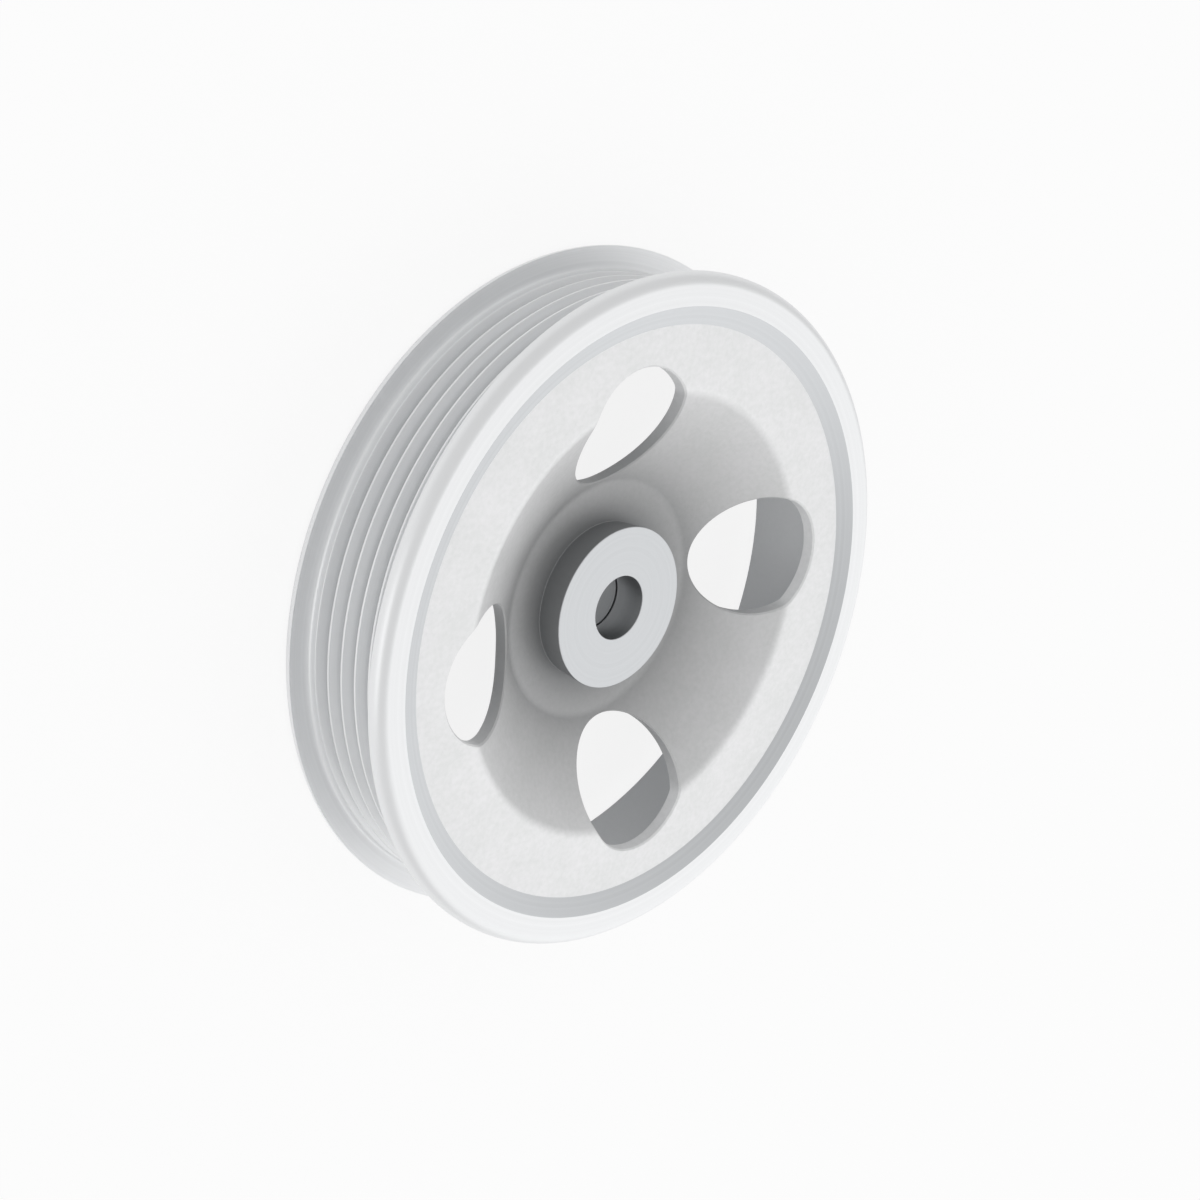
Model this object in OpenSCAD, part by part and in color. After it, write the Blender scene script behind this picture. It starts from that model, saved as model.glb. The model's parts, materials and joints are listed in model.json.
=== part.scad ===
// Belt pulley for a ribbed belt, cast in one piece and turned.
// The axis is Z. The pulley lies on its back face at z = 0, and its front face looks up.
// Sizes are in millimetres. The casting is one cross-section, drawn in the plane of radius (x) and
// height (y) and revolved around the axis, with round windows drilled through its web.

/* [Rim] */
// Diameter over the crests of the belt seat
crest_d = 119.7; // [112:0.1:150]
// Width of the whole rim, from the back face to the front face
rim_w = 25.9; // [25:0.1:34]
// Height of the flanges above the crests
flange_h = 4.35; // [3:0.05:5]
// Width of the front flange at its outer edge
flange_w = 2.85; // [2.4:0.05:3.2]
// Width of the back flange at its outer edge
back_flange_w = 2.35; // [2:0.05:3.2]
// Radius on the outer corner of each flange
flange_round = 2.25; // [0.5:0.05:2.6]
// Wall of the rim between the roots of the grooves and the inside
rim_wall = 1.25; // [1:0.05:2]
// Radius of the small fillet where a flange meets the belt seat
seat_fillet = 0.5; // [0.2:0.1:1]
// Height of the cone that opens the rim at the back
mouth_h = 3.05; // [1:0.05:5]
// Width of the flat back face, from the flange's edge inwards
back_face_w = 4.25; // [3.5:0.05:6.5]

/* [Belt seat] */
// Number of V-grooves
groove_count = 5; // [3:1:5]
// Distance from groove to groove
groove_pitch = 3.56; // [3.4:0.02:3.6]
// Angle between the two walls of a groove
groove_angle = 40; // [36:1:44]
// Width of the flat land on each crest
crest_land = 0.4; // [0.2:0.05:0.6]
// Depth of a groove below the crests
groove_depth = 3; // [2:0.1:3.2]
// Radius at the root of a groove
root_round = 0.5; // [0.2:0.05:0.6]

/* [Front face] */
// Width of the flat front face, from the flange's edge inwards
face_w = 5.85; // [4.5:0.05:6.5]
// Width of the sloping step from the front face down to the web
step_w = 3.55; // [1:0.05:5]
// Depth of the web's outer ring below the front face
ring_depth = 1.3; // [0.6:0.1:3]

/* [Web] */
// Thickness of the web's flat outer ring
ring_t = 2.8; // [2:0.1:4]
// Thickness of the cone, square to its surface
cone_t = 2.6; // [2:0.1:4]
// Angle between the cone and the plane of the wheel
cone_angle = 30; // [25:1:34]
// Width of the web's flat outer ring, up to where the cone would start with no bend
ring_w = 12.3; // [10:0.1:15]
// Depth of the flat floor around the hub, below the front face
floor_depth = 12.7; // [10:0.1:13.5]
// Bend radius on the front, where the ring turns down into the cone
crest_bend = 4.3; // [2:0.1:8]
// Bend radius on the front, where the cone meets the floor
floor_bend = 3; // [1:0.1:6]
// Fillet behind the web, at the rim and at the hub
back_fillet = 2; // [0.5:0.1:3]

/* [Windows] */
// Number of round windows
window_count = 4; // [3:1:5]
// Diameter of a window
window_d = 24.2; // [16:0.2:26]
// Distance from the web's outer edge in to the windows' centres
window_inset = 18.8; // [16.8:0.1:19.8]

/* [Hub] */
// Diameter of the hub's front face
hub_face_d = 31.2; // [26:0.2:34]
// Diameter of the hub at its foot, a little less than at its face
hub_foot_d = 30; // [26:0.2:32]
// Depth of the hub's front face below the rim's front face
hub_face_depth = 7.1; // [4:0.1:9]
// Length of the hub, from its front face to its back end
hub_len = 12.1; // [10:0.1:18]
// Diameter of the shaft bore
bore_d = 12.3; // [8:0.1:16]
// Width of the ring groove inside the bore
relief_w = 0.45; // [0.3:0.05:1.5]
// Depth of the ring groove inside the bore
relief_depth = 0.4; // [0.2:0.05:1]
// Distance from the hub's front face to the middle of the ring groove
relief_at = 6.75; // [4:0.05:8]
// Chamfer on the bore at the hub's back end
bore_chamfer = 0.5; // [0.2:0.1:1.5]

/* [Hidden] */
$fn = 180;

// Radii
crest_r = crest_d / 2;
flange_r = crest_r + flange_h;
root_r = crest_r - groove_depth;
rim_bore_r = root_r - rim_wall;
face_inner_r = flange_r - face_w;
mouth_r = flange_r - back_face_w;
web_edge_r = face_inner_r - step_w;
cone_top_r = web_edge_r - ring_w;
window_circle_r = web_edge_r - window_inset;
hub_face_r = hub_face_d / 2;
hub_foot_r = hub_foot_d / 2;
bore_r = bore_d / 2;

// Heights above the back face
ring_z = rim_w - ring_depth;
floor_z = rim_w - floor_depth;
hub_face_z = rim_w - hub_face_depth;
hub_back_z = hub_face_z - hub_len;
relief_z = hub_face_z - relief_at;
seat_low_z = back_flange_w;
seat_high_z = rim_w - flange_w;
seat_middle_z = (seat_low_z + seat_high_z) / 2;

// The cone's foot on the front, and its two corners on the back
cone_foot_r = cone_top_r - (ring_z - floor_z) / tan(cone_angle);
cone_drop = cone_t / cos(cone_angle);
ring_back_z = ring_z - ring_t;
floor_back_z = floor_z - ring_t;
cone_top_back_r = cone_top_r + (cone_drop - ring_t) / tan(cone_angle);
cone_foot_back_r = cone_foot_r + (cone_drop - ring_t) / tan(cone_angle);

// Bends on the back follow those on the front at the web's thickness, and none is sharper than a
// mould can cast
least_bend = 0.5;
crest_bend_back = max(crest_bend - ring_t, least_bend);
floor_bend_back = floor_bend + ring_t;

// A flange's round always leaves a narrow straight edge beside the belt seat
straight_edge = 0.1;
front_round = min(flange_round, flange_w - straight_edge);
back_round = min(flange_round, back_flange_w - straight_edge);

// How far a cut or a fillet reaches past the surface that it starts from
overlap = 1;
// How far a fillet's arc runs past its sides, so that it crosses them and doesn't only graze them
graze = 0.002;

// Unit vector at an angle in the section's plane
function ray(angle) = [cos(angle), sin(angle)];

// Fillet of radius r in the corner at p, whose two sides leave it at the angles a and b, with b
// between a and a + 180. Added, it fills a hollow corner. Cut away, it rounds a sharp one.
module corner_fillet(p, a, b, r) {
    half = (b - a) / 2;
    reach = r / tan(half);
    centre = p + r / sin(half) * ray(a + half);
    difference() {
        polygon([p - overlap * ray(a + half), p + reach * ray(a), centre, p + reach * ray(b)]);
        translate(centre) circle(r + graze);
    }
}

// The whole cross-section with sharp corners and no grooves
module outline() {
    polygon([
        // Hub and web from behind
        [bore_r, hub_back_z], [hub_foot_r, hub_back_z], [hub_foot_r, floor_back_z],
        [cone_foot_back_r, floor_back_z], [cone_top_back_r, ring_back_z], [rim_bore_r, ring_back_z],
        // Rim: mouth, back flange, belt seat, front flange
        [rim_bore_r, mouth_h], [mouth_r, 0], [flange_r, 0], [flange_r, seat_low_z],
        [crest_r, seat_low_z], [crest_r, seat_high_z], [flange_r, seat_high_z], [flange_r, rim_w],
        // Web and hub from the front
        [face_inner_r, rim_w], [web_edge_r, ring_z], [cone_top_r, ring_z], [cone_foot_r, floor_z],
        [hub_foot_r, floor_z], [hub_face_r, hub_face_z], [bore_r, hub_face_z]
    ]);
}

// Hollow corners that the casting fills
module hollow_corners() {
    corner_fillet([hub_foot_r, floor_back_z], 270, 360, back_fillet);
    corner_fillet([cone_top_back_r, ring_back_z], 180 + cone_angle, 360, crest_bend_back);
    corner_fillet([rim_bore_r, ring_back_z], 180, 270, back_fillet);
    corner_fillet([crest_r, seat_low_z], 0, 90, seat_fillet);
    corner_fillet([crest_r, seat_high_z], -90, 0, seat_fillet);
    corner_fillet([cone_foot_r, floor_z], cone_angle, 180, floor_bend);
}

// Sharp corners that are rounded off
module sharp_corners() {
    corner_fillet([cone_foot_back_r, floor_back_z], cone_angle, 180, floor_bend_back);
    corner_fillet([flange_r, 0], 90, 180, back_round);
    corner_fillet([flange_r, rim_w], 180, 270, front_round);
    corner_fillet([cone_top_r, ring_z], 180 + cone_angle, 360, crest_bend);
}

// One V-groove at height z, widest at the crests and round at the root
module groove(z) {
    wall_angle = groove_angle / 2;
    half_crest_w = (groove_pitch - crest_land) / 2;
    half_root_w = half_crest_w - groove_depth * tan(wall_angle);
    half_top_w = half_crest_w + overlap * tan(wall_angle);
    difference() {
        polygon([
            [root_r, z - half_root_w], [crest_r + overlap, z - half_top_w],
            [crest_r + overlap, z + half_top_w], [root_r, z + half_root_w]
        ]);
        corner_fillet([root_r, z - half_root_w], -wall_angle, 90, root_round);
        corner_fillet([root_r, z + half_root_w], -90, wall_angle, root_round);
    }
}

// The V-grooves, evenly spaced about the middle of the belt seat
module grooves() {
    for (i = [0 : groove_count - 1])
        groove(seat_middle_z + (i - (groove_count - 1) / 2) * groove_pitch);
}

// Ring groove inside the bore, and the chamfer at the bore's back end
module bore_cuts() {
    translate([bore_r - overlap, relief_z - relief_w / 2])
        square([overlap + relief_depth, relief_w]);
    polygon([
        [bore_r - overlap, hub_back_z - overlap], [bore_r + bore_chamfer + overlap, hub_back_z - overlap],
        [bore_r - overlap, hub_back_z + bore_chamfer + overlap]
    ]);
}

// The windows are drilled along the axis, so one round hole cuts both the flat ring and the cone
module windows() {
    for (i = [0 : window_count - 1])
        rotate(i * 360 / window_count)
            translate([window_circle_r, 0, -overlap])
                cylinder(d = window_d, h = rim_w + 2 * overlap);
}

// The whole casting
module pulley() {
    color("gainsboro") difference() {
        rotate_extrude() difference() {
            union() {
                outline();
                hollow_corners();
            }
            sharp_corners();
            grooves();
            bore_cuts();
        }
        windows();
    }
}

pulley();
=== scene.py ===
import json
import math

import bpy
from mathutils import Matrix, Vector


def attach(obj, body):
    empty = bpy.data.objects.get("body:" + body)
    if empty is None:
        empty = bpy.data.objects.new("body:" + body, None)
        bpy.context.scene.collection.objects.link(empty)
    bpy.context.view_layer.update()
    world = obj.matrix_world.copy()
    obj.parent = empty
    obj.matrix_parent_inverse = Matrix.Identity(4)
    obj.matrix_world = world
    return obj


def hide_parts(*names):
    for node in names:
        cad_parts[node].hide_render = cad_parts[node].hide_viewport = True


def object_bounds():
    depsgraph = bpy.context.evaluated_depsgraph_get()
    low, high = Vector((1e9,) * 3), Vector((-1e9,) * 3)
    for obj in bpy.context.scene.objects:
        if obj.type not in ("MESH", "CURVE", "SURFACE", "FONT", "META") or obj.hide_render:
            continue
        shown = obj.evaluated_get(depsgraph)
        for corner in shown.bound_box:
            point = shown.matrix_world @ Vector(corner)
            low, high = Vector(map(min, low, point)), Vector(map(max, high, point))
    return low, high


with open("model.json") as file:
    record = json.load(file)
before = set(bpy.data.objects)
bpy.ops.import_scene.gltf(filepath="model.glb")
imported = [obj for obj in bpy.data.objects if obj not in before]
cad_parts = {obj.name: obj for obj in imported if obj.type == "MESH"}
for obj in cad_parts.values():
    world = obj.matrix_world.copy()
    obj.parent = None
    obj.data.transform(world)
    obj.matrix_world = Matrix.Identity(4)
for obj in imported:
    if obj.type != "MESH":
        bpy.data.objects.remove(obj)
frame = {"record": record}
cad_low, cad_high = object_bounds()
mounts = {mount["name"]: mount for mount in frame["record"]["mounts"]}

MM = 0.001

# Rim, in millimetres. Radii are measured from the axis and heights from the back face.
flange_r = cad_high.x / MM
rim_w = cad_high.z / MM
flange_h = 4.35
flange_w = 2.85
back_flange_w = 2.35
flange_round = 2.25
straight_edge = 0.1
seat_fillet = 0.5
rim_wall = 1.25
mouth_h = 3.05
back_face_w = 4.25

# Belt seat
groove_count = 5
groove_pitch = 3.56
groove_angle = 40
crest_land = 0.4
groove_depth = 3.0
root_round = 0.5

# Front face and web
face_w = 5.85
step_w = 3.55
ring_depth = 1.3
ring_w = 12.3
ring_t = 2.8
cone_t = 2.6
cone_angle = 30
floor_depth = 12.7
crest_bend = 4.3
floor_bend = 3.0
back_fillet = 2.0

# Windows
window_count = 4
window_d = 24.2
window_inset = 18.8

# Hub
bore_r = mounts["shaft_bore"]["dims"]["r_mm"]
hub_face_z = mounts["hub_front"]["pos_m"][2] / MM
hub_face_r = 15.6
hub_foot_r = 15.0
hub_len = 12.1
bore_chamfer = 0.5
relief_w = 0.45
relief_depth = 0.4
relief_at = 6.75

# Every turned or cast edge is a little broken, which catches the light as a thin line
edge_break = 0.15
relief_break = 0.05
window_break = 0.3

# Worked out from the sizes above
crest_r = flange_r - flange_h
root_r = crest_r - groove_depth
rim_bore_r = root_r - rim_wall
seat_low, seat_high = back_flange_w, rim_w - flange_w
face_inner_r = flange_r - face_w
web_edge_r = face_inner_r - step_w
cone_top_r = web_edge_r - ring_w
window_circle_r = web_edge_r - window_inset
ring_z = rim_w - ring_depth
floor_z = rim_w - floor_depth
hub_back_z = hub_face_z - hub_len
relief_low = hub_face_z - relief_at - relief_w / 2
relief_high = relief_low + relief_w
ring_back_z = ring_z - ring_t
floor_back_z = floor_z - ring_t
cone_slope = math.tan(math.radians(cone_angle))
cone_foot_r = cone_top_r - (ring_z - floor_z) / cone_slope
back_shift = (cone_t / math.cos(math.radians(cone_angle)) - ring_t) / cone_slope


def linear(hex_colour):
    """An sRGB hex colour as the linear colour that a node wants."""
    def channel(value):
        return value / 12.92 if value <= 0.04045 else ((value + 0.055) / 1.055) ** 2.4
    parts = [int(hex_colour[i:i + 2], 16) / 255 for i in (1, 3, 5)]
    return (*[channel(part) for part in parts], 1.0)


def add(tree, kind, settings=None, **links):
    """One node with its settings. A link comes from a socket, or is a plain value."""
    node = tree.nodes.new(kind)
    for name, value in (settings or {}).items():
        setattr(node, name, value)
    for name, value in links.items():
        socket = node.inputs[int(name[1:])] if name[0] == "_" else node.inputs[name.replace("_", " ")]
        if isinstance(value, bpy.types.NodeSocket):
            tree.links.new(value, socket)
        else:
            socket.default_value = value
    return node


def new_material(name):
    """An empty material and its node tree."""
    material = bpy.data.materials.new(name)
    material.use_nodes = True
    material.node_tree.nodes.clear()
    return material, material.node_tree


def painted_hollow_shade(tree, open_tone, painted_shade_tone, reach_mm, shut_in, open_air):
    """The tone of a bare skin that is bright where it lies open and greyer in a hollow, which is painted
    shade. Reach is how far it looks for a wall, and the last two are the open shares of the sky at which
    the skin has its shaded tone and its open tone."""
    # Painted shade: the colour darkens where ambient occlusion finds walls near by
    hollow_openness = add(tree, "ShaderNodeAmbientOcclusion", {"samples": 16}, Distance=reach_mm * MM)
    reached = add(tree, "ShaderNodeMapRange", Value=hollow_openness.outputs["AO"], From_Min=shut_in,
                  From_Max=open_air)
    tone = add(tree, "ShaderNodeMix", {"data_type": "RGBA"}, Factor=reached.outputs["Result"],
               _6=linear(painted_shade_tone), _7=open_tone)
    return tone.outputs[2]


def axis_distance(tree, place):
    """Distance of a point from the pulley's axis."""
    flat = add(tree, "ShaderNodeVectorMath", {"operation": "MULTIPLY"}, _0=place, _1=(1, 1, 0))
    distance = add(tree, "ShaderNodeVectorMath", {"operation": "LENGTH"}, _0=flat.outputs["Vector"])
    return distance.outputs["Value"]


def lathe_rings(tree, feed_mm):
    """Fine rings around the axis, as a tool leaves them on a face and along the rim. The real ones are
    a tenth of a millimetre apart, too fine to show, so they are drawn as coarse as they need to be. The
    noise seldom leaves the middle of its range, which is stretched to the whole of it."""
    middle_low, middle_high = 0.3, 0.7
    place = add(tree, "ShaderNodeTexCoord").outputs["Object"]
    height = add(tree, "ShaderNodeSeparateXYZ", Vector=place).outputs["Z"]
    along = add(tree, "ShaderNodeMath", {"operation": "ADD"}, _0=axis_distance(tree, place), _1=height)
    rings = add(tree, "ShaderNodeTexNoise", {"noise_dimensions": "1D"}, W=along.outputs["Value"],
                Scale=1 / (feed_mm * MM), Detail=3.0)
    stretched = add(tree, "ShaderNodeMapRange", Value=rings.outputs["Fac"], From_Min=middle_low,
                    From_Max=middle_high)
    return stretched.outputs["Result"]


def cast_alloy():
    """Die-cast aluminium under a shot blast: a pale matt skin with a fine even grain and faint clouds. Past
    the flat ring's bend the colour is greyer, and greyest by the hub, and it is greyer in hollows: all of
    this is painted shade of the dish. The grain is drawn a few times coarser than the shot leaves it, or it
    wouldn't show."""
    grain_mm = 0.9
    cloud_mm = 9.0
    # Distances from the axis for the painted shade: where the colour is darkest, and where it lifts at the
    # bend
    hub_side_mm = 18
    cone_side_mm = cone_top_r - 1.15
    ring_side_mm = cone_top_r + 0.5
    # The painted shade's tone by the hub as a share of that at the cone's top, and that as a share of the
    # flat ring's
    hub_share, cone_share = 0.56, 0.8
    # Grain and clouds are added up, and this part of their sum is stretched to the whole range
    middle_low, middle_high = 0.7, 1.3
    material, tree = new_material("cast_aluminium")
    place = add(tree, "ShaderNodeTexCoord").outputs["Object"]
    grain = add(tree, "ShaderNodeTexNoise", Vector=place, Scale=1 / (grain_mm * MM), Detail=2.0)
    cloud = add(tree, "ShaderNodeTexNoise", Vector=place, Scale=1 / (cloud_mm * MM), Detail=4.0)
    mixed = add(tree, "ShaderNodeMath", {"operation": "ADD"}, _0=grain.outputs["Fac"],
                _1=cloud.outputs["Fac"])
    mottle = add(tree, "ShaderNodeMapRange", Value=mixed.outputs["Value"], From_Min=middle_low,
                 From_Max=middle_high)
    open_skin = add(tree, "ShaderNodeMix", {"data_type": "RGBA"}, Factor=mottle.outputs["Result"],
                    _6=linear("#ECEDED"), _7=linear("#F6F6F7"))
    distance = axis_distance(tree, place)
    # Painted shade of the dish: the colour darkens from the flat ring's bend in towards the hub
    down_cone = add(tree, "ShaderNodeMapRange", Value=distance, From_Min=hub_side_mm * MM,
                    From_Max=cone_side_mm * MM, To_Min=hub_share, To_Max=1.0)
    at_bend = add(tree, "ShaderNodeMapRange", Value=distance, From_Min=cone_side_mm * MM,
                  From_Max=ring_side_mm * MM, To_Min=cone_share, To_Max=1.0)
    painted_dish_shade = add(tree, "ShaderNodeMath", {"operation": "MULTIPLY"}, _0=down_cone.outputs["Result"],
                  _1=at_bend.outputs["Result"])
    # Painted shade: the mottled skin is greyer in hollows and multiplied by the dish's painted shade
    skin = add(tree, "ShaderNodeMix", {"data_type": "RGBA", "blend_type": "MULTIPLY"}, Factor=1.0,
               _6=painted_hollow_shade(tree, open_skin.outputs[2], "#C8CACC", reach_mm=30, shut_in=0.4,
                            open_air=0.95),
               _7=painted_dish_shade.outputs["Value"])
    rough = add(tree, "ShaderNodeMapRange", Value=cloud.outputs["Fac"], To_Min=0.48, To_Max=0.6)
    bump = add(tree, "ShaderNodeBump", Height=grain.outputs["Fac"], Strength=0.6, Distance=0.06 * MM)
    shader = add(tree, "ShaderNodeBsdfPrincipled", Base_Color=skin.outputs[2], Metallic=0.35,
                 Roughness=rough.outputs["Result"], Normal=bump.outputs["Normal"])
    add(tree, "ShaderNodeOutputMaterial", Surface=shader.outputs["BSDF"])
    return material


def turned_alloy():
    """The same aluminium, turned with a fine feed: bright and satin, with faint rings. Its colour is greyer
    in the V-grooves than on their crests, which is painted shade and shows the ribs."""
    material, tree = new_material("turned_aluminium")
    rings = lathe_rings(tree, feed_mm=0.7)
    bright = add(tree, "ShaderNodeMix", {"data_type": "RGBA"}, Factor=rings,
                 _6=linear("#EDEEEF"), _7=linear("#F2F3F4"))
    # Painted shade: greyer where walls close in within a few millimetres, as in the grooves
    tone = painted_hollow_shade(tree, bright.outputs[2], "#BCBEC0", reach_mm=4, shut_in=0.1, open_air=0.5)
    rough = add(tree, "ShaderNodeMapRange", Value=rings, To_Min=0.39, To_Max=0.44)
    bump = add(tree, "ShaderNodeBump", Height=rings, Strength=0.3, Distance=0.005 * MM)
    shader = add(tree, "ShaderNodeBsdfPrincipled", Base_Color=tone, Metallic=0.5,
                 Roughness=rough.outputs["Result"], Normal=bump.outputs["Normal"])
    add(tree, "ShaderNodeOutputMaterial", Surface=shader.outputs["BSDF"])
    return material


def faced_painted_shade_alloy():
    """The same aluminium, faced and bored with a coarser feed, with rings that just show. Its colour is
    greyer than the turned rim's, as painted shade of the dish it lies in, and greyer still in hollows, also
    painted shade.
    """
    material, tree = new_material("faced_aluminium_painted_shade")
    rings = lathe_rings(tree, feed_mm=0.9)
    # Painted shade: a greyer copy of the aluminium for the faces that lie in the dish
    skin = add(tree, "ShaderNodeMix", {"data_type": "RGBA"}, Factor=rings,
               _6=linear("#C9CBCD"), _7=linear("#CFD1D3"))
    # Painted shade: darker still where ambient occlusion finds walls, as on the hub's side and in the bore
    tone = painted_hollow_shade(tree, skin.outputs[2], "#8A8C8E", reach_mm=30, shut_in=0.4, open_air=0.95)
    rough = add(tree, "ShaderNodeMapRange", Value=rings, To_Min=0.41, To_Max=0.47)
    bump = add(tree, "ShaderNodeBump", Height=rings, Strength=0.6, Distance=0.006 * MM)
    shader = add(tree, "ShaderNodeBsdfPrincipled", Base_Color=tone, Metallic=0.9,
                 Roughness=rough.outputs["Result"], Normal=bump.outputs["Normal"])
    add(tree, "ShaderNodeOutputMaterial", Surface=shader.outputs["BSDF"])
    return material


def shown_rays(tree):
    """1 for the rays that show the background itself, in the picture, in metal and through glass."""
    path = add(tree, "ShaderNodeLightPath")
    seen = add(tree, "ShaderNodeMath", {"operation": "MAXIMUM"}, _0=path.outputs["Is Camera Ray"],
               _1=path.outputs["Is Glossy Ray"])
    shown = add(tree, "ShaderNodeMath", {"operation": "MAXIMUM"}, _0=seen.outputs["Value"],
                _1=path.outputs["Is Transmission Ray"])
    return shown.outputs["Value"]


def white_floor():
    """A plain white studio floor. It shows as white where it is lit, and it keeps the shadow."""
    paint_tone = 0.9
    # How much of the white shows by itself. The lamps light only the rest, which holds the shadow.
    lift = 0.86
    material, tree = new_material("white_floor")
    shown = shown_rays(tree)
    paint = add(tree, "ShaderNodeMix", {"data_type": "RGBA"}, Factor=shown,
                _6=(paint_tone, paint_tone, paint_tone, 1), _7=(1 - lift, 1 - lift, 1 - lift, 1))
    strength = add(tree, "ShaderNodeMath", {"operation": "MULTIPLY"}, _0=shown, _1=lift)
    matt = add(tree, "ShaderNodeBsdfDiffuse", Color=paint.outputs[2])
    glow = add(tree, "ShaderNodeEmission", Color=(1, 1, 1, 1), Strength=strength.outputs["Value"])
    both = add(tree, "ShaderNodeAddShader", _0=matt.outputs["BSDF"], _1=glow.outputs["Emission"])
    add(tree, "ShaderNodeOutputMaterial", Surface=both.outputs["Shader"])
    return material


def rounded(corners):
    """The points of a closed outline whose corners (radius, height, bend) are rounded to their bend."""
    widest_turn = math.radians(9)
    points = []
    for i, (r, z, bend) in enumerate(corners):
        corner = Vector((r, z))
        to_last = (Vector(corners[i - 1][:2]) - corner).normalized()
        to_next = (Vector(corners[(i + 1) % len(corners)][:2]) - corner).normalized()
        half = to_last.angle(to_next) / 2
        centre = corner + (to_last + to_next).normalized() * bend / math.sin(half)
        start = corner + to_last * bend / math.tan(half) - centre
        turn = -start.angle_signed(corner + to_next * bend / math.tan(half) - centre)
        count = max(2, math.ceil(abs(turn) / widest_turn))
        for k in range(count + 1):
            points.append(centre + Matrix.Rotation(turn * k / count, 2) @ start)
    return points


def groove_corners(z):
    """One V-groove at height z, from its lower crest to its upper crest."""
    half_crest_w = (groove_pitch - crest_land) / 2
    half_root_w = half_crest_w - groove_depth * math.tan(math.radians(groove_angle / 2))
    return [(crest_r, z - half_crest_w, edge_break), (root_r, z - half_root_w, root_round),
            (root_r, z + half_root_w, root_round), (crest_r, z + half_crest_w, edge_break)]


def section():
    """The corners of the pulley's cross-section, from the hub's back end around the rim to its face."""
    grooves = []
    for i in range(groove_count):
        grooves += groove_corners((seat_low + seat_high) / 2 + (i - (groove_count - 1) / 2) * groove_pitch)
    return [
        # Hub and web from behind
        (bore_r + bore_chamfer, hub_back_z, edge_break), (hub_foot_r, hub_back_z, edge_break),
        (hub_foot_r, floor_back_z, back_fillet),
        (cone_foot_r + back_shift, floor_back_z, floor_bend + ring_t),
        (cone_top_r + back_shift, ring_back_z, crest_bend - ring_t),
        # Rim: mouth, back flange, belt seat, front flange
        (rim_bore_r, ring_back_z, back_fillet), (rim_bore_r, mouth_h, edge_break),
        (flange_r - back_face_w, 0, edge_break), (flange_r, 0, flange_round),
        (flange_r, seat_low, straight_edge / 2), (crest_r, seat_low, seat_fillet), *grooves,
        (crest_r, seat_high, seat_fillet), (flange_r, seat_high, edge_break),
        (flange_r, rim_w, flange_round),
        # Web and hub from the front
        (face_inner_r, rim_w, edge_break), (web_edge_r, ring_z, edge_break),
        (cone_top_r, ring_z, crest_bend), (cone_foot_r, floor_z, floor_bend),
        (hub_foot_r, floor_z, edge_break), (hub_face_r, hub_face_z, edge_break),
        # Bore
        (bore_r, hub_face_z, edge_break), (bore_r, relief_high, relief_break),
        (bore_r + relief_depth, relief_high, relief_break),
        (bore_r + relief_depth, relief_low, relief_break), (bore_r, relief_low, relief_break),
        (bore_r, hub_back_z + bore_chamfer, edge_break),
    ]


def pick(*pieces):
    """Makes these pieces the only selected ones, with the first of them active."""
    bpy.ops.object.select_all(action="DESELECT")
    for piece in pieces:
        piece.select_set(True)
    bpy.context.view_layer.objects.active = pieces[0]


def edit(piece):
    """Opens a piece in edit mode with nothing in it selected."""
    pick(piece)
    bpy.ops.object.mode_set(mode="EDIT")
    bpy.ops.mesh.select_all(action="DESELECT")


def spun_casting():
    """The whole section, drawn by extruding one point along it, and spun around the axis."""
    steps = 216
    weld = 0.001 * MM
    points = [Vector((point.x, 0, point.y)) * MM for point in rounded(section())]
    bpy.ops.object.select_all(action="DESELECT")
    bpy.ops.mesh.primitive_plane_add(size=MM, location=(0, 0, 0))
    piece = bpy.context.object
    piece.name = "pulley_casting"
    edit(piece)
    bpy.ops.mesh.select_all(action="SELECT")
    bpy.ops.mesh.merge(type="CENTER")
    bpy.ops.transform.translate(value=points[0])
    for here, there in zip(points, points[1:] + points[:1]):
        bpy.ops.mesh.extrude_region_move(TRANSFORM_OT_translate={"value": there - here})
    bpy.ops.mesh.select_all(action="SELECT")
    bpy.ops.mesh.remove_doubles(threshold=weld)
    bpy.ops.mesh.spin(steps=steps, angle=2 * math.pi, center=(0, 0, 0), axis=(0, 0, 1))
    bpy.ops.mesh.select_all(action="SELECT")
    bpy.ops.mesh.remove_doubles(threshold=weld)
    bpy.ops.mesh.normals_make_consistent(inside=False)
    bpy.ops.object.mode_set(mode="OBJECT")
    return piece


def height_at(piece, x, y, start, direction):
    """Height of the surface that a vertical line through x, y meets first, seen from start."""
    _, place, _, _ = piece.ray_cast(Vector((x, y, start)), Vector((0, 0, direction)))
    return place.z


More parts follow.
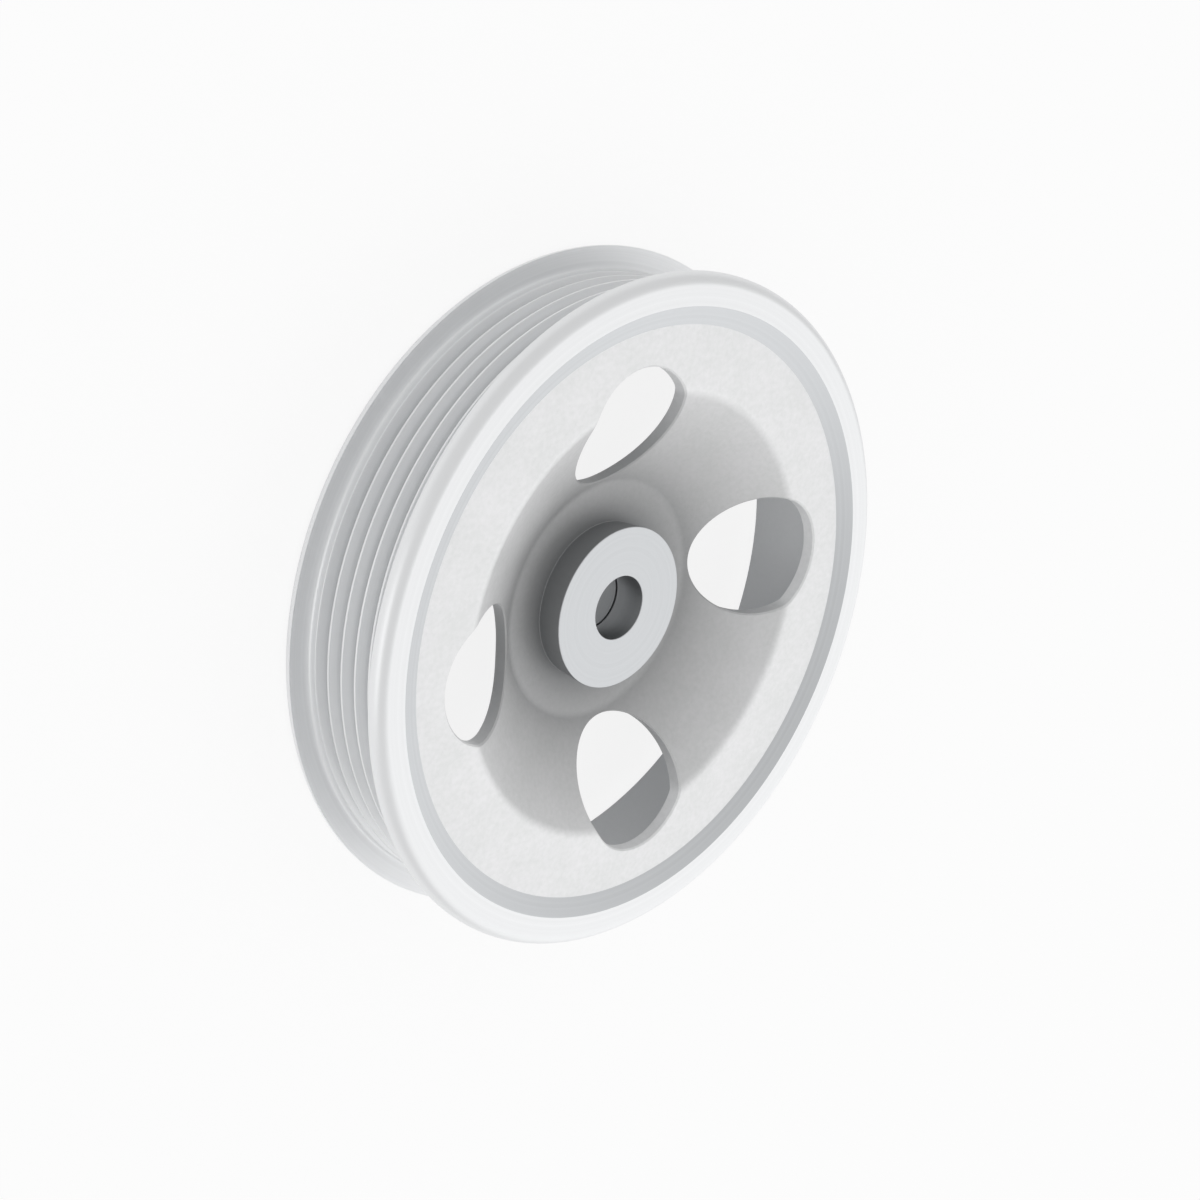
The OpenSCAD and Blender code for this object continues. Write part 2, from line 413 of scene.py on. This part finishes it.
def window_drill(casting):
    """What a window takes out: a straight round hole whose two edges are broken all the way round,
    wherever the web happens to be. It follows the web's front and back."""
    sides = 144
    past = 4 * MM
    bottom, top = -past, rim_w * MM + past
    hole_r, flare_r = window_d / 2 * MM, (window_d / 2 + window_break) * MM
    ring_r = [flare_r, flare_r, hole_r, hole_r, flare_r, flare_r]
    centre = Vector((window_circle_r * MM, 0))
    bpy.ops.object.select_all(action="DESELECT")
    bpy.ops.mesh.primitive_circle_add(vertices=sides, radius=flare_r, location=(*centre, bottom))
    drill = bpy.context.object
    bpy.ops.object.transform_apply(location=True)
    edit(drill)
    bpy.ops.mesh.select_all(action="SELECT")
    for _ in ring_r[1:]:
        bpy.ops.mesh.extrude_region_move(TRANSFORM_OT_translate={"value": (0, 0, MM)})
    bpy.ops.object.mode_set(mode="OBJECT")
    for vertex in drill.data.vertices:
        ring = round((vertex.co.z - bottom) / MM)
        x, y = centre + (vertex.co.to_2d() - centre).normalized() * ring_r[ring]
        back, front = height_at(casting, x, y, bottom, 1), height_at(casting, x, y, top, -1)
        heights = [bottom, back, back + window_break * MM, front - window_break * MM, front, top]
        vertex.co = (x, y, heights[ring])
    edit(drill)
    bpy.ops.mesh.select_non_manifold()
    bpy.ops.mesh.edge_face_add()
    bpy.ops.mesh.select_all(action="SELECT")
    bpy.ops.mesh.normals_make_consistent(inside=False)
    bpy.ops.object.mode_set(mode="OBJECT")
    return drill


def drill_windows(casting):
    """Copies the drill around the axis and takes all the copies out of the web in one cut. The drill's
    edges lie on the web, so the cut leaves slivers, which are welded shut."""
    sliver = 0.003 * MM
    drill = window_drill(casting)
    drills = []
    for i in range(window_count):
        copy = drill.copy()
        copy.data = drill.data.copy()
        bpy.context.scene.collection.objects.link(copy)
        copy.data.transform(Matrix.Rotation(2 * math.pi * i / window_count, 4, "Z"))
        drills.append(copy)
    bpy.data.objects.remove(drill)
    pick(*drills)
    bpy.ops.object.join()
    cut = casting.modifiers.new("windows", "BOOLEAN")
    cut.operation = "DIFFERENCE"
    cut.solver = "EXACT"
    cut.object = drills[0]
    pick(casting)
    bpy.ops.object.modifier_apply(modifier=cut.name)
    bpy.data.objects.remove(drills[0])
    edit(casting)
    bpy.ops.mesh.select_all(action="SELECT")
    bpy.ops.mesh.remove_doubles(threshold=sliver)
    bpy.ops.mesh.quads_convert_to_tris()
    bpy.ops.mesh.dissolve_degenerate(threshold=sliver)
    bpy.ops.mesh.normals_make_consistent(inside=False)
    bpy.ops.object.mode_set(mode="OBJECT")


def smooth(casting):
    """Smooth shading with true flats: the broken edges turn the light and the faces between don't."""
    sharpest_smooth = math.radians(30)
    pick(casting)
    bpy.ops.object.shade_smooth_by_angle(angle=sharpest_smooth)
    flats = casting.modifiers.new("flats", "WEIGHTED_NORMAL")
    flats.mode = "FACE_AREA"
    flats.keep_sharp = True
    bpy.ops.object.modifier_apply(modifier=flats.name)


def dress(casting):
    """The cast skin all over, apart from where the rim and the hub are turned."""
    cast, turned, faced_shaded = range(3)
    for material in (cast_alloy(), turned_alloy(), faced_painted_shade_alloy()):
        casting.data.materials.append(material)
    for face in casting.data.polygons:
        radius, height = face.center.to_2d().length / MM, face.center.z / MM
        rim_outside = radius > root_r - edge_break
        front_face = radius > face_inner_r and height > ring_z
        back_face = radius > rim_bore_r and height < mouth_h
        step = web_edge_r < radius < face_inner_r and height > ring_z
        hub_front = radius < hub_face_r and height > hub_face_z - edge_break
        hub_back = radius < hub_foot_r and height < hub_back_z + edge_break
        bore = radius < bore_r + bore_chamfer
        # The step, the hub's ends and the bore take the greyer material, whose tone is painted shade
        if step or hub_front or hub_back or bore:
            face.material_index = faced_shaded
        elif rim_outside or front_face or back_face:
            face.material_index = turned
        else:
            face.material_index = cast


def set_camera():
    """The picture's camera: it looks at the pulley's front from the left and a little from above, with
    the pulley's +Y upwards. It was fitted to the circles of the rim, the web and the hub."""
    turn, height = math.radians(45.03), math.radians(25.03)
    distance_mm = 475.54
    aim = Vector((1.087, -0.771, rim_w - 13.2)) * MM
    picture_pixels = 1200
    focal_pixels = 2552.26
    back = Vector((-math.sin(turn) * math.cos(height), math.sin(height), math.cos(turn) * math.cos(height)))
    right = Vector((0, 1, 0)).cross(back).normalized()
    turned = Matrix((right, back.cross(right), back)).transposed().to_4x4()
    lens = bpy.data.cameras.new("camera")
    lens.lens = focal_pixels / picture_pixels * lens.sensor_width
    camera = bpy.data.objects.new("camera", lens)
    camera.matrix_world = Matrix.Translation(aim + back * distance_mm * MM) @ turned
    bpy.context.scene.collection.objects.link(camera)
    bpy.context.scene.camera = camera


def set_floor():
    """A plain floor at the height of the pulley's back face."""
    width = 40
    bpy.ops.object.select_all(action="DESELECT")
    bpy.ops.mesh.primitive_plane_add(size=width, location=(0, 0, 0))
    floor = bpy.context.object
    floor.name = "floor"
    floor.data.materials.append(white_floor())


def softbox(name, azimuth, elevation, spread, strength):
    """A square soft lamp that faces the pulley from a direction in degrees. Spread is its width as a
    share of its distance, and strength its plain brightness."""
    distance = 6
    lamp = bpy.data.lights.new(name, "AREA")
    lamp.shape = "SQUARE"
    lamp.size = spread * distance
    lamp.energy = strength * lamp.size ** 2 * math.pi
    stand = bpy.data.objects.new(name, lamp)
    turn, height = math.radians(azimuth), math.radians(elevation)
    direction = Vector((math.cos(turn) * math.cos(height), math.sin(turn) * math.cos(height),
                        math.sin(height)))
    stand.location = Vector((0, 0, rim_w / 2 * MM)) + direction * distance
    stand.rotation_mode = "QUATERNION"
    stand.rotation_quaternion = direction.to_track_quat("Z", "Y")
    bpy.context.scene.collection.objects.link(stand)


def set_light():
    """An even studio, with a soft key that the front faces mirror and a low fill beside the rim."""
    world = bpy.data.worlds.new("studio")
    world.use_nodes = True
    world.node_tree.nodes.clear()
    even = add(world.node_tree, "ShaderNodeBackground", Color=(1, 1, 1, 1), Strength=0.68)
    add(world.node_tree, "ShaderNodeOutputWorld", Surface=even.outputs["Background"])
    bpy.context.scene.world = world
    softbox("key", azimuth=312, elevation=30, spread=1.3, strength=0.6)
    softbox("fill", azimuth=180, elevation=8, spread=0.8, strength=0.95)


casting = spun_casting()
drill_windows(casting)
smooth(casting)
dress(casting)
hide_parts("pulley")
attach(casting, "root")

set_camera()
set_floor()
set_light()
bpy.context.scene.view_settings.view_transform = "Standard"
